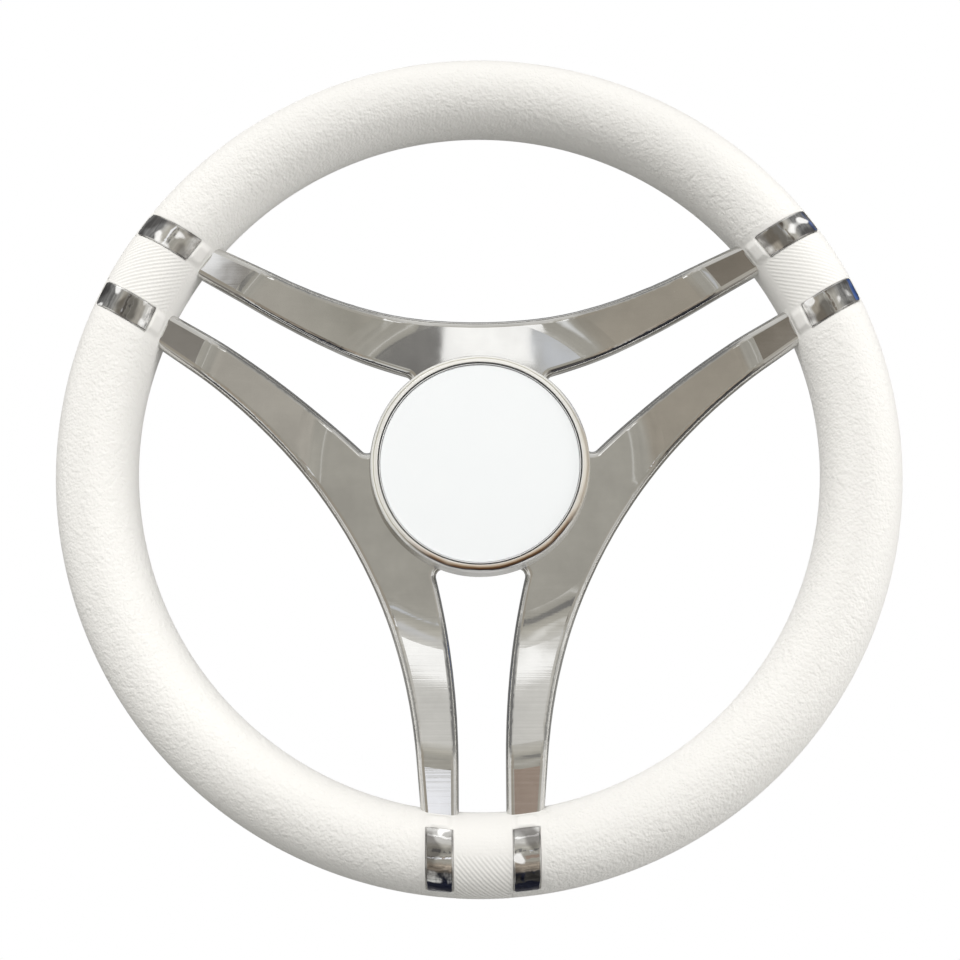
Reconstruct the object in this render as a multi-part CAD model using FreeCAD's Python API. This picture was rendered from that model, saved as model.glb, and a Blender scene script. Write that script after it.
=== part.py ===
import FreeCAD, Part
import math
import os
from FreeCAD import Vector

# A dished boat steering wheel: a one-piece stainless spider with three curved double arms,
# a steel bar rim moulded in soft foam, six polished bands let into the foam, a turned hub ring,
# a pull-off centre cap and a tapered hub boss.
# Millimetres and degrees. The wheel turns about the Y axis and its driver looks along +Y.
# Heights are measured from the back face of the boss towards the driver, so y = -height.
# Angles round the wheel start at +X and grow towards +Z.

# Rim
rim_outer_diameter = 343.0
grip_diameter = 32.6
core_bar_diameter = 10.0
rim_height = 47.0

# Spider: flat at the hub, sloping arms, flat again where the arms enter the rim
plate_thickness = 6.0
plate_drop = 10.4
arm_rise = 5.6
inner_bend_radius = 70.0
inner_bend_rounding = 45.0
outer_bend_radius = 118.0
outer_bend_rounding = 30.0
front_edge_round = 3.0
back_edge_round = 0.8
window_near_distance = 62.0
window_arc_radius = 215.0
window_side_angle = 25.25
gap_half_width = 9.3
gap_arc_radius = 325.0
gap_arc_start = 122.0
gap_corner_round = 3.0
boomerang_angles = (90.0, 210.0, 330.0)
gap_angles = (30.0, 150.0, 270.0)

# Bands let into the grip, and the foam tabs between them and the arms
band_width = 10.4
band_thickness = 1.6
band_proud = 0.6
band_edge_round = 0.6
band_corner_round = 1.4
band_outer_angle = 52.0
band_inner_angle = 40.0
band_pocket_gap = 0.05
tab_band_gap = 0.4
tab_width = 10.4
tab_proud = 0.7
tab_end_angle = 66.0
tab_edge_round = 0.5

# Hub ring
ring_top_radius = 44.9
ring_base_flare = 0.9
ring_wall = 3.2
ring_inner_round = 0.3
ring_shoulder_width = 2.75
ring_crest_above_rim = 1.4
ring_shoulder_depth = 5.5
disc_under_ring = 1.0

# Centre cap
cap_ring_clearance = 0.25
cap_lip_width = 0.6
cap_lip_below_crest = 0.5
cap_lip_round = 0.25
cap_recess_depth = 2.2
cap_floor_thickness = 1.5
cap_seat_gap = 0.05
cap_skirt_clearance = 0.4
cap_skirt_thickness = 3.2
cap_skirt_end_gap = 1.4
insert_gap = 0.2
insert_below_lip = 0.6
insert_dome = 0.6
insert_edge_round = 0.4
seal_section_diameter = 2.4
seal_groove_depth = 2.2
seal_groove_width = 2.9
seal_below_shoulder = 2.2

# Hub boss, with the taper of a three quarter inch helm shaft
taper_large_diameter = 19.05
taper_ratio = 12.0
nut_pocket_diameter = 27.0
nut_pocket_depth = 7.6
keyway_width = 4.76
keyway_depth = 2.3
boss_back_radius = 18.5
boss_neck_radius = 21.0
boss_neck_round = 3.5
boss_flange_radius = 30.0
boss_flange_thickness = 8.0
boss_spigot_wall = 2.5
boss_edge_chamfer = 1.0
spigot_clearance = 0.05

# Screws that hold the boss to the spider
screw_count = 6
screw_circle_radius = 23.0
screw_diameter = 5.0
screw_length = 11.0
screw_hole_clearance = 0.25
screw_thread_clearance = 0.05
screw_hole_spare_depth = 1.0
screw_head_diameter = 9.5
screw_head_height = 2.75
screw_head_round = 1.6
screw_socket_width = 3.0
screw_socket_depth = 1.6

# Values worked out from the dimensions above
rim_radius = (rim_outer_diameter - grip_diameter) / 2
grip_radius = grip_diameter / 2
core_radius = core_bar_diameter / 2
plate_front = rim_height - plate_drop
plate_back = plate_front - plate_thickness
arm_front = rim_height + arm_rise
ring_base_radius = ring_top_radius + ring_base_flare
ring_bore_radius = ring_top_radius - ring_wall
ring_shoulder_radius = ring_bore_radius - ring_shoulder_width
hub_disc_radius = ring_base_radius - disc_under_ring
ring_crest = rim_height + ring_crest_above_rim
ring_shoulder = ring_crest - ring_shoulder_depth
cap_radius = ring_bore_radius - cap_ring_clearance
cap_lip_front = ring_crest - cap_lip_below_crest
cap_recess_floor = cap_lip_front - cap_recess_depth
cap_skirt_radius = ring_shoulder_radius - cap_skirt_clearance
spigot_radius = nut_pocket_diameter / 2 + boss_spigot_wall
nut_seat = plate_front - nut_pocket_depth
taper_small_radius = (taper_large_diameter - nut_seat / taper_ratio) / 2
screw_angles = [i * 360.0 / screw_count for i in range(screw_count)]

origin = Vector(0, 0, 0)
wheel_axis = Vector(0, 1, 0)
towards_driver = Vector(0, -1, 0)
reach = 2 * rim_outer_diameter
edge_tolerance = 0.01
patch_sweep = 30.0


def at(x, z, height):
    return Vector(x, -height, z)


def turned(shape, angle):
    """Turn a shape about the wheel's axis, from +X towards +Z."""
    copy = shape.copy()
    copy.rotate(origin, wheel_axis, -angle)
    return copy


def line(start, end):
    return Part.LineSegment(start, end).toShape()


def arc(start, middle, end):
    return Part.Arc(start, middle, end).toShape()


def polygon(points):
    return [line(a, b) for a, b in zip(points, points[1:] + points[:1]) if (a - b).Length > 1e-6]


def prism(edges, height, depth):
    """Extrude a closed outline, drawn at the given height, away from the driver."""
    face = Part.Face(Part.Wire(Part.__sortEdges__(edges)))
    return face.extrude(wheel_axis * depth)


def revolved(edges, sweep=360.0):
    """Turn a closed profile, drawn in the half plane x > 0, about the wheel's axis."""
    face = Part.Face(Part.Wire(Part.__sortEdges__(edges)))
    return face.revolve(origin, wheel_axis, sweep)


def profile_corner(before, corner, after, radius):
    """The two tangent points and the middle of an arc that rounds one corner of a path."""
    to_before = (before - corner).normalize()
    to_after = (after - corner).normalize()
    half = to_before.getAngle(to_after) / 2
    setback = radius / math.tan(half)
    bisector = (to_before + to_after).normalize()
    centre = corner + bisector * (radius / math.sin(half))
    return corner + to_before * setback, centre - bisector * radius, corner + to_after * setback


def ring_at(radius, height):
    """Radius and height of a profile point, as a vector in the plane that is revolved."""
    return at(radius, 0, height)


# Spider

def dish_profile(offset):
    """Hub flat, slope and rim flat as one smooth path, moved back by the offset."""
    low = plate_front - offset
    high = arm_front - offset
    hub = ring_at(0, low)
    inner = ring_at(inner_bend_radius, low)
    outer = ring_at(outer_bend_radius, high)
    tip = ring_at(rim_radius, high)
    a, b, c = profile_corner(hub, inner, outer, inner_bend_rounding)
    d, e, f = profile_corner(inner, outer, tip, outer_bend_rounding)
    return [line(hub, a), arc(a, b, c), line(c, d), arc(d, e, f), line(f, tip)]


def dish():
    front = dish_profile(0)
    back = dish_profile(plate_thickness)
    ends = [line(ring_at(0, plate_front), ring_at(0, plate_back)),
            line(ring_at(rim_radius, arm_front), ring_at(rim_radius, arm_front - plate_thickness))]
    return revolved(front + back + ends)


def window_corner():
    """Where the window's arc meets its straight side, and that side's slope, along +Z."""
    side = math.radians(window_side_angle)
    corner_x = window_arc_radius * math.sin(side)
    corner_z = window_near_distance + window_arc_radius * (1 - math.cos(side))
    return corner_x, corner_z, side


def window():
    """Everything outside one double arm: a shallow arc with a straight side at each end."""
    arc_end_x, arc_end_z, side = window_corner()
    far_x = arc_end_x + reach * math.cos(side)
    far_z = arc_end_z + reach * math.sin(side)
    top = arm_front + reach
    left, right = at(-arc_end_x, arc_end_z, top), at(arc_end_x, arc_end_z, top)
    far_left, far_right = at(-far_x, far_z, top), at(far_x, far_z, top)
    edges = [arc(left, at(0, window_near_distance, top), right), line(right, far_right),
             line(far_right, far_left), line(far_left, left)]
    return prism(edges, top, 2 * reach)


def gap():
    """The slot between neighbouring double arms, widening towards the hub, along +Z."""
    top = arm_front + reach
    spread = hub_disc_radius / 2
    drop = gap_arc_start - spread
    widening = gap_arc_radius - math.sqrt(gap_arc_radius ** 2 - drop ** 2)
    middle = drop / 2
    mid_widening = gap_arc_radius - math.sqrt(gap_arc_radius ** 2 - middle ** 2)
    edges = []
    ends = []
    for side in (-1, 1):
        inner = at(side * (gap_half_width + widening), spread, top)
        bend = at(side * (gap_half_width + mid_widening), gap_arc_start - middle, top)
        straight = at(side * gap_half_width, gap_arc_start, top)
        outer = at(side * gap_half_width, reach, top)
        edges += [arc(inner, bend, straight), line(straight, outer)]
        ends += [inner, outer]
    edges += [line(ends[0], ends[2]), line(ends[1], ends[3])]
    hub_disc = Part.makeCylinder(hub_disc_radius, 3 * reach, at(0, 0, 2 * reach), wheel_axis)
    return prism(edges, top, 2 * reach).cut(hub_disc)


def front_height(radius):
    """Height of the spider's front face, without the rounding of its bends."""
    if radius < inner_bend_radius:
        return plate_front
    if radius > outer_bend_radius:
        return arm_front
    share = (radius - inner_bend_radius) / (outer_bend_radius - inner_bend_radius)
    return plate_front + share * (arm_front - plate_front)


def long_edges(shape, offset):
    """Edges along the sides of the arms, on the front face or on the back face behind it."""
    chosen = []
    for edge in shape.Edges:
        middle = edge.valueAt((edge.FirstParameter + edge.LastParameter) / 2)
        ends = [vertex.Point for vertex in edge.Vertexes]
        radii = [math.hypot(p.x, p.z) for p in ends + [middle]]
        on_face = abs(-middle.y - (front_height(radii[-1]) - offset)) < plate_thickness / 4
        level = max(radii) - min(radii) < edge_tolerance
        if on_face and not level and len(ends) == 2:
            chosen.append(edge)
    return chosen


def level_edges(shape, height):
    """Round edges that lie flat at the given height."""
    return [edge for edge in shape.Edges
            if edge.BoundBox.YLength < edge_tolerance and abs(-edge.BoundBox.YMin - height) < edge_tolerance]


def spoke_frame():
    body = dish()
    for angle in boomerang_angles:
        body = body.cut(turned(window(), angle - 90))
    for angle in gap_angles:
        body = body.cut(turned(gap(), angle - 90))
    corners = []
    for edge in body.Edges:
        p = edge.valueAt((edge.FirstParameter + edge.LastParameter) / 2)
        upright = len(edge.Vertexes) == 2 and abs(edge.Length - plate_thickness) < edge_tolerance
        if upright and abs(math.hypot(p.x, p.z) - hub_disc_radius) < edge_tolerance:
            corners.append(edge)
    body = body.makeFillet(gap_corner_round, corners)
    body = body.makeFillet(front_edge_round, long_edges(body, 0))
    body = body.makeFillet(back_edge_round, long_edges(body, plate_thickness))
    body = body.cut(Part.makeTorus(rim_radius, core_radius, at(0, 0, rim_height), wheel_axis))
    body = body.cut(Part.makeCylinder(spigot_radius + spigot_clearance, reach, at(0, 0, reach), wheel_axis))
    for angle in screw_angles:
        hole = Part.makeCylinder(screw_diameter / 2 + screw_hole_clearance, reach,
                                 at(screw_circle_radius, 0, reach), wheel_axis)
        body = body.cut(turned(hole, angle))
    return body


# Rim

def arm_middle():
    """Distance of an arm's middle line from its gap's middle line, where it enters the grip."""
    corner_x, corner_z, side = window_corner()
    turn = math.radians(boomerang_angles[0] - gap_angles[0])
    along = corner_z * math.cos(turn) + corner_x * math.sin(turn)
    across = corner_z * math.sin(turn) - corner_x * math.cos(turn)
    lean = math.pi / 2 - turn - side
    entry = rim_radius - grip_radius
    outer_edge = across - (entry - along) * math.tan(lean)
    return (gap_half_width + outer_edge) / 2


def rim_patch(inner_tube_radius, outer_tube_radius, start_angle, end_angle, width):
    """A curved plate on the rim's tube, over the arm beside +X, between two tube angles.

    Tube angles start at the driver's side and grow towards the hub. The plate is cut from a ring
    that is swept far enough to reach past the arm.
    """
    def tube_point(radius, angle):
        turn = math.radians(angle)
        return ring_at(rim_radius - radius * math.sin(turn), rim_height + radius * math.cos(turn))

    middle_angle = (start_angle + end_angle) / 2
    edges = [arc(*[tube_point(outer_tube_radius, a) for a in (start_angle, middle_angle, end_angle)]),
             arc(*[tube_point(inner_tube_radius, a) for a in (start_angle, middle_angle, end_angle)]),
             line(tube_point(inner_tube_radius, start_angle), tube_point(outer_tube_radius, start_angle)),
             line(tube_point(inner_tube_radius, end_angle), tube_point(outer_tube_radius, end_angle))]
    piece = turned(revolved(edges, patch_sweep), patch_sweep)
    slab = Part.makeBox(reach, reach, width)
    slab.translate(Vector(0, -reach / 2, arm_middle() - width / 2))
    return piece.common(slab)


def tube_place(edge):
    """Distance of an edge's middle from the rim's tube centre, and its tube angle in degrees."""
    p = edge.valueAt((edge.FirstParameter + edge.LastParameter) / 2)
    outwards = math.hypot(p.x, p.z) - rim_radius
    forwards = -p.y - rim_height
    return math.hypot(outwards, forwards), math.degrees(math.atan2(-outwards, forwards))


def outer_corners(plate, end_angle):
    """A plate's short edges through its thickness, at its end away from the hub."""
    return [edge for edge in plate.Edges
            if len(edge.Vertexes) == 2 and tube_place(edge)[1] < end_angle + 1
            and edge.Length < 3 * band_thickness]


def face_edges(plate, tube_radius):
    """All edges of a plate's outer face."""
    return [edge for edge in plate.Edges if abs(tube_place(edge)[0] - tube_radius) < edge_tolerance]


def on_both_arms(shape):
    """The six places of something drawn over the arm beside +X, by gap and side."""
    mirrored = shape.mirror(origin, Vector(0, 0, 1))
    return [turned(side, angle) for angle in gap_angles for side in (mirrored, shape)]


def band():
    plate = rim_patch(grip_radius + band_proud - band_thickness, grip_radius + band_proud,
                      -band_outer_angle, band_inner_angle, band_width)
    plate = plate.makeFillet(band_corner_round, outer_corners(plate, -band_outer_angle))
    return plate.makeFillet(band_edge_round, face_edges(plate, grip_radius + band_proud))


def band_pocket():
    spare = math.degrees(band_pocket_gap / grip_radius)
    end_angle = -band_outer_angle - spare
    hole = rim_patch(grip_radius + band_proud - band_thickness - band_pocket_gap, grip_radius + band_thickness,
                     end_angle, band_inner_angle + spare, band_width + 2 * band_pocket_gap)
    return hole.makeFillet(band_corner_round + band_pocket_gap, outer_corners(hole, end_angle))


def foam_tab():
    start = band_inner_angle + math.degrees(tab_band_gap / grip_radius)
    tab = rim_patch(grip_radius - band_thickness, grip_radius + tab_proud, start, tab_end_angle, tab_width)
    return tab.makeFillet(tab_edge_round, face_edges(tab, grip_radius + tab_proud))


def rim_core():
    return Part.makeTorus(rim_radius, core_radius, at(0, 0, rim_height), wheel_axis)


def grip(spider):
    body = Part.makeTorus(rim_radius, grip_radius, at(0, 0, rim_height), wheel_axis)
    for tab in on_both_arms(foam_tab()):
        body = body.fuse(tab)
    for pocket in on_both_arms(band_pocket()):
        body = body.cut(pocket)
    return body.cut(rim_core()).cut(spider)


# Hub

def hub_ring():
    crest_radius = ring_bore_radius + ring_inner_round
    bead = ring_top_radius - crest_radius
    bead_middle = ring_at(crest_radius + bead * math.sqrt(0.5), ring_crest - bead * (1 - math.sqrt(0.5)))
    round_middle = ring_at(crest_radius - ring_inner_round * math.sqrt(0.5),
                           ring_crest - ring_inner_round * (1 - math.sqrt(0.5)))
    crest = ring_at(crest_radius, ring_crest)
    bead_end = ring_at(ring_top_radius, ring_crest - bead)
    bore_top = ring_at(ring_bore_radius, ring_crest - ring_inner_round)
    edges = polygon([bore_top, ring_at(ring_bore_radius, ring_shoulder),
                     ring_at(ring_shoulder_radius, ring_shoulder), ring_at(ring_shoulder_radius, plate_front),
                     ring_at(ring_base_radius, plate_front), bead_end])[:-1]
    edges += [arc(bead_end, bead_middle, crest), arc(crest, round_middle, bore_top)]
    return revolved(edges)


def cap_body():
    inner_radius = cap_radius - cap_lip_width
    flange_base = ring_shoulder + cap_seat_gap
    underside = cap_recess_floor - cap_floor_thickness
    skirt_inner = cap_skirt_radius - cap_skirt_thickness
    skirt_end = plate_front + cap_skirt_end_gap
    groove_radius = cap_skirt_radius - seal_groove_depth
    groove_middle = ring_shoulder - seal_below_shoulder
    groove_top = groove_middle + seal_groove_width / 2
    groove_bottom = groove_middle - seal_groove_width / 2
    body = revolved(polygon([
        ring_at(0, underside), ring_at(0, cap_recess_floor), ring_at(inner_radius, cap_recess_floor),
        ring_at(inner_radius, cap_lip_front), ring_at(cap_radius, cap_lip_front),
        ring_at(cap_radius, flange_base), ring_at(cap_skirt_radius, flange_base),
        ring_at(cap_skirt_radius, groove_top), ring_at(groove_radius, groove_top),
        ring_at(groove_radius, groove_bottom), ring_at(cap_skirt_radius, groove_bottom),
        ring_at(cap_skirt_radius, skirt_end), ring_at(skirt_inner, skirt_end),
        ring_at(skirt_inner, underside)]))
    return body.makeFillet(cap_lip_round, level_edges(body, cap_lip_front))


def cap_insert():
    radius = cap_radius - cap_lip_width - insert_gap
    edge_front = cap_lip_front - insert_below_lip
    setback = insert_edge_round * (1 - math.sqrt(0.5))
    a = ring_at(radius, edge_front - insert_edge_round)
    b = ring_at(radius - setback, edge_front - setback)
    c = ring_at(radius - insert_edge_round, edge_front)
    crown = ring_at(0, edge_front + insert_dome)
    sphere = (c.x ** 2 + insert_dome ** 2) / (2 * insert_dome)
    half_x = c.x / 2
    half = ring_at(half_x, edge_front + insert_dome - (sphere - math.sqrt(sphere ** 2 - half_x ** 2)))
    edges = [line(ring_at(0, cap_recess_floor), ring_at(radius, cap_recess_floor)),
             line(ring_at(radius, cap_recess_floor), a), arc(a, b, c), arc(c, half, crown),
             line(crown, ring_at(0, cap_recess_floor))]
    return revolved(edges)


def cap_seal():
    section_radius = seal_section_diameter / 2
    floor_gap = (seal_groove_depth + cap_skirt_clearance - seal_section_diameter) / 2
    seal_radius = cap_skirt_radius - seal_groove_depth + floor_gap + section_radius
    return Part.makeTorus(seal_radius, section_radius,
                          at(0, 0, ring_shoulder - seal_below_shoulder), wheel_axis)


def hub_boss():
    flange_back = plate_back - boss_flange_thickness
    outline = polygon([
        ring_at(0, 0), ring_at(boss_back_radius - boss_edge_chamfer, 0),
        ring_at(boss_back_radius, boss_edge_chamfer), ring_at(boss_neck_radius, flange_back),
        ring_at(boss_flange_radius - boss_edge_chamfer, flange_back),
        ring_at(boss_flange_radius, flange_back + boss_edge_chamfer),
        ring_at(boss_flange_radius, plate_back), ring_at(spigot_radius, plate_back),
        ring_at(spigot_radius, plate_front), ring_at(0, plate_front)])
    body = revolved(outline)
    neck = [edge for edge in level_edges(body, flange_back)
            if abs(edge.BoundBox.XMax - boss_neck_radius) < edge_tolerance]
    body = body.makeFillet(boss_neck_round, neck)
    pocket = Part.makeCylinder(nut_pocket_diameter / 2, reach, at(0, 0, nut_seat), towards_driver)
    taper = Part.makeCone(taper_large_diameter / 2, taper_small_radius, nut_seat, origin, towards_driver)
    keyway = Part.makeBox(keyway_width, nut_seat, taper_large_diameter / 2 + keyway_depth)
    keyway.translate(Vector(-keyway_width / 2, -nut_seat, 0))
    body = body.cut(pocket).cut(taper).cut(keyway)
    hole_depth = screw_length - plate_thickness + screw_hole_spare_depth
    for angle in screw_angles:
        hole = Part.makeCylinder(screw_diameter / 2, hole_depth,
                                 at(screw_circle_radius, 0, plate_back), wheel_axis)
        body = body.cut(turned(hole, angle))
    return body


def boss_screw():
    """A button head socket screw on the spider's front face, beside +X."""
    seat = at(screw_circle_radius, 0, plate_front)
    shank = Part.makeCylinder(screw_diameter / 2 - screw_thread_clearance, screw_length, seat, wheel_axis)
    head = Part.makeCylinder(screw_head_diameter / 2, screw_head_height, seat, towards_driver)
    top = plate_front + screw_head_height
    head = head.makeFillet(screw_head_round, level_edges(head, top))
    socket_sides = 6
    corner = screw_socket_width / 2 / math.cos(math.pi / socket_sides)
    corners = []
    for i in range(socket_sides):
        turn = 2 * math.pi * i / socket_sides
        corners.append(at(screw_circle_radius + corner * math.cos(turn), corner * math.sin(turn), top))
    socket = prism(polygon(corners), top, screw_socket_depth)
    return shank.fuse(head).cut(socket)


def boss_screws():
    return Part.makeCompound([turned(boss_screw(), angle) for angle in screw_angles])


def save(name, shape):
    shape = shape.removeSplitter() if shape.ShapeType != "Compound" else shape
    solids = shape.Solids
    shape = solids[0] if len(solids) == 1 else Part.makeCompound(solids)
    shape.exportStep(os.path.join("parts", name + ".step"))
    box = shape.BoundBox
    print("%-20s solids %d valid %s volume %.0f  x %.1f..%.1f  y %.1f..%.1f  z %.1f..%.1f" % (
        name, len(solids), shape.isValid(), shape.Volume,
        box.XMin, box.XMax, box.YMin, box.YMax, box.ZMin, box.ZMax))


def main():
    os.makedirs("parts", exist_ok=True)
    spider = spoke_frame()
    save("spoke_frame", spider)
    save("rim_core", rim_core())
    save("grip", grip(spider))
    names = ("band_right_lower", "band_right_upper", "band_left_upper",
             "band_left_lower", "band_bottom_left", "band_bottom_right")
    for name, piece in zip(names, on_both_arms(band())):
        save(name, piece)
    save("hub_ring", hub_ring())
    save("hub_boss", hub_boss())
    save("boss_screws", boss_screws())
    save("cap_body", cap_body())
    save("cap_insert", cap_insert())
    save("cap_seal", cap_seal())


main()
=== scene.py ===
import math

import bmesh
import bpy
from mathutils import Matrix, Vector


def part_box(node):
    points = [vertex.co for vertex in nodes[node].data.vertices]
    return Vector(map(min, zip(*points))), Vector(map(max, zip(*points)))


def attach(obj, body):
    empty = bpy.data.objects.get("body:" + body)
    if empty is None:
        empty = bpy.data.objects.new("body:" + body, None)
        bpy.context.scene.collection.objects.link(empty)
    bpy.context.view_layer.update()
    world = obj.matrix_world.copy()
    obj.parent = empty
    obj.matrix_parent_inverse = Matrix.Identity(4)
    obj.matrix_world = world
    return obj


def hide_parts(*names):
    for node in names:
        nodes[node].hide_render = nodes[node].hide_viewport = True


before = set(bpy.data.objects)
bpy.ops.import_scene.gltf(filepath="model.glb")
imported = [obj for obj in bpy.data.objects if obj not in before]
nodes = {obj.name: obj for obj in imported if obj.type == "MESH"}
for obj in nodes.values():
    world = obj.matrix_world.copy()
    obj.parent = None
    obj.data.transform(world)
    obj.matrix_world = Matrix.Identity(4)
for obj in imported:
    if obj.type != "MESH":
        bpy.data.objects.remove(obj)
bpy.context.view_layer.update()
print("frame loaded:", len(nodes), "nodes")

# Metres. The wheel turns about Y, its driver is on the -Y side and +Z is up.
# Wheel angles start at +X and grow towards +Z. Tube angles are degrees round the rim's section:
# 0 faces the driver, 90 faces the hub.

coreLow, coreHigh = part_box("rim_core")
bandLow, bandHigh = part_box("band_bottom_right")

wheel = {
    "tubeRadius": 0.0163,
    "coreRadius": 0.005,
    "gapAngles": (30, 150, 270),      # the middle of each pair of neighbouring arms
    "bandNear": bandLow[0],           # a band's edges, from the middle plane of its gap
    "bandFar": bandHigh[0],
    "bandOuter": -52,                 # a band's ends, as tube angles
    "bandInner": 40,
}
wheel["rimRadius"] = round(coreHigh[0] - wheel["coreRadius"], 4)
wheel["rimPlane"] = round((coreLow[1] + coreHigh[1]) / 2, 4)


# Shader maths

class Wire:                           # one output of a node, with arithmetic on it
    def __init__(self, tree, socket):
        self.tree = tree
        self.socket = socket

    def __getitem__(self, name):      # another output of the same node
        return Wire(self.tree, self.tree.find(self.socket.node.outputs, name))

    def __add__(self, other):
        return self.tree.maths("ADD", self, other)

    def __radd__(self, other):
        return self.tree.maths("ADD", other, self)

    def __sub__(self, other):
        return self.tree.maths("SUBTRACT", self, other)

    def __rsub__(self, other):
        return self.tree.maths("SUBTRACT", other, self)

    def __mul__(self, other):
        return self.tree.maths("MULTIPLY", self, other)

    def __truediv__(self, other):
        return self.tree.maths("DIVIDE", self, other)


class Tree:                           # adds nodes to one material's or world's tree
    def __init__(self, nodeTree):
        self.nodeTree = nodeTree

    def find(self, sockets, name):
        return [s for s in sockets if s.enabled and name in (s.name, s.identifier)][0]

    def feed(self, socket, value):
        if isinstance(value, Wire):
            self.nodeTree.links.new(value.socket, socket)
        else:
            socket.default_value = value

    def add(self, kind, settings=None, inputs=None):
        node = self.nodeTree.nodes.new("ShaderNode" + kind)
        for key, value in (settings or {}).items():
            if key == "stops":
                fillRamp(node.color_ramp, value)
            else:
                setattr(node, key, value)
        for key, value in (inputs or {}).items():
            self.feed(self.find(node.inputs, key), value)
        return Wire(self, [s for s in node.outputs if s.enabled][0])

    def maths(self, operation, *values):
        names = ("Value", "Value_001", "Value_002")
        return self.add("Math", {"operation": operation}, dict(zip(names, values)))

    def ease(self, value, low, high):            # 0 below low, 1 above high, smooth between
        return self.add("MapRange", {"interpolation_type": "SMOOTHSTEP"},
                        {"Value": value, "From Min": low, "From Max": high})

    def blend(self, factor, a, b):               # colours
        return self.add("Mix", {"data_type": "RGBA"}, {"Factor": factor, "A": a, "B": b})

    def cloud(self, vector, scale, detail=2.0, roughness=0.5):
        return self.add("TexNoise", {}, {"Vector": vector, "Scale": scale, "Detail": detail,
                                         "Roughness": roughness})

    def scale(self, colour, factor):
        return self.add("VectorMath", {"operation": "SCALE"}, {"Vector": colour, "Scale": factor})

    def attribute(self, name):
        return self.add("Attribute", {"attribute_name": name})["Fac"]

    def bump(self, height, distance, normal=None):
        inputs = {"Height": height, "Distance": distance}
        if normal:
            inputs["Normal"] = normal
        return self.add("Bump", {}, inputs)


def fillRamp(ramp, stops):
    while len(ramp.elements) < len(stops):
        ramp.elements.new(0.5)
    for element, (position, colour) in zip(ramp.elements, stops):
        element.position = position
        element.color = colour


def newMaterial(name, constants):
    material = bpy.data.materials.new(name)
    material.use_nodes = True
    shader = material.node_tree.nodes["Principled BSDF"]
    for key, value in constants.items():
        shader.inputs[key].default_value = value
    return material, Tree(material.node_tree), shader


def rgb(red, green, blue):
    return (red, green, blue, 1.0)


# Pieces

def dress(node, material):            # the CAD node's own slots take the new material
    for slot in node.material_slots:
        slot.material = material


def addMesh(bm, name):
    mesh = bpy.data.meshes.new(name)
    bm.to_mesh(mesh)
    bm.free()
    piece = bpy.data.objects.new(name, mesh)
    bpy.context.scene.collection.objects.link(piece)
    return piece


# Camera

view = {
    "distance": 0.5845,
    "below": 8.77,                    # degrees under the wheel's axis
    "turn": -0.44,
    "roll": 0.36,
    "lens": 53.85,                    # mm, as is the sensor
    "sensor": 36,
    "clip": 0.01,
    "shiftY": -0.0181,
}


def addCamera():
    below = math.radians(view["below"])
    turn = math.radians(view["turn"])
    roll = math.radians(view["roll"])
    level = Vector((0, -math.cos(below), -math.sin(below)))
    rise = Vector((0, -math.sin(below), math.cos(below)))
    side = Vector((1, 0, 0)) * math.cos(turn) - level * math.sin(turn)
    back = level * math.cos(turn) + Vector((1, 0, 0)) * math.sin(turn)
    right = side * math.cos(roll) - rise * math.sin(roll)
    up = side * math.sin(roll) + rise * math.cos(roll)
    place = Vector((0, wheel["rimPlane"], 0)) + back * view["distance"]
    data = bpy.data.cameras.new("camera")
    data.sensor_width = view["sensor"]
    data.lens = view["lens"]
    data.shift_y = view["shiftY"]
    data.clip_start = view["clip"]
    camera = bpy.data.objects.new("camera", data)
    bpy.context.scene.collection.objects.link(camera)
    axes = Matrix((right, up, back)).transposed()
    camera.matrix_world = Matrix.Translation(place) @ axes.to_4x4()
    bpy.context.scene.camera = camera


addCamera()
print("camera set")


# Studio: what the polished metal sees, the floor and the lamps

studio = {
    "skyLevel": 0.425,                # soft light from all round, for everything but mirrors
    "skyFromTop": 0.215,
    "skyFromDriver": 0.80,
    "skyLeast": 0.05,
    "skyTint": (1.0, 0.99, 0.965),
    "floorHeight": -0.62,
    "floorHalfSide": 6,
    "floorRoughness": 0.9,
    "floorColour": rgb(0.88, 0.88, 0.87),
    "floorBounce": rgb(0.38, 0.38, 0.37),
    "floorClear": (0.5, 1.3),         # the shadow fades out over this distance from the wheel
    "floorLeastClear": 0.7,           # share of plain white right under the wheel
}

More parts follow.
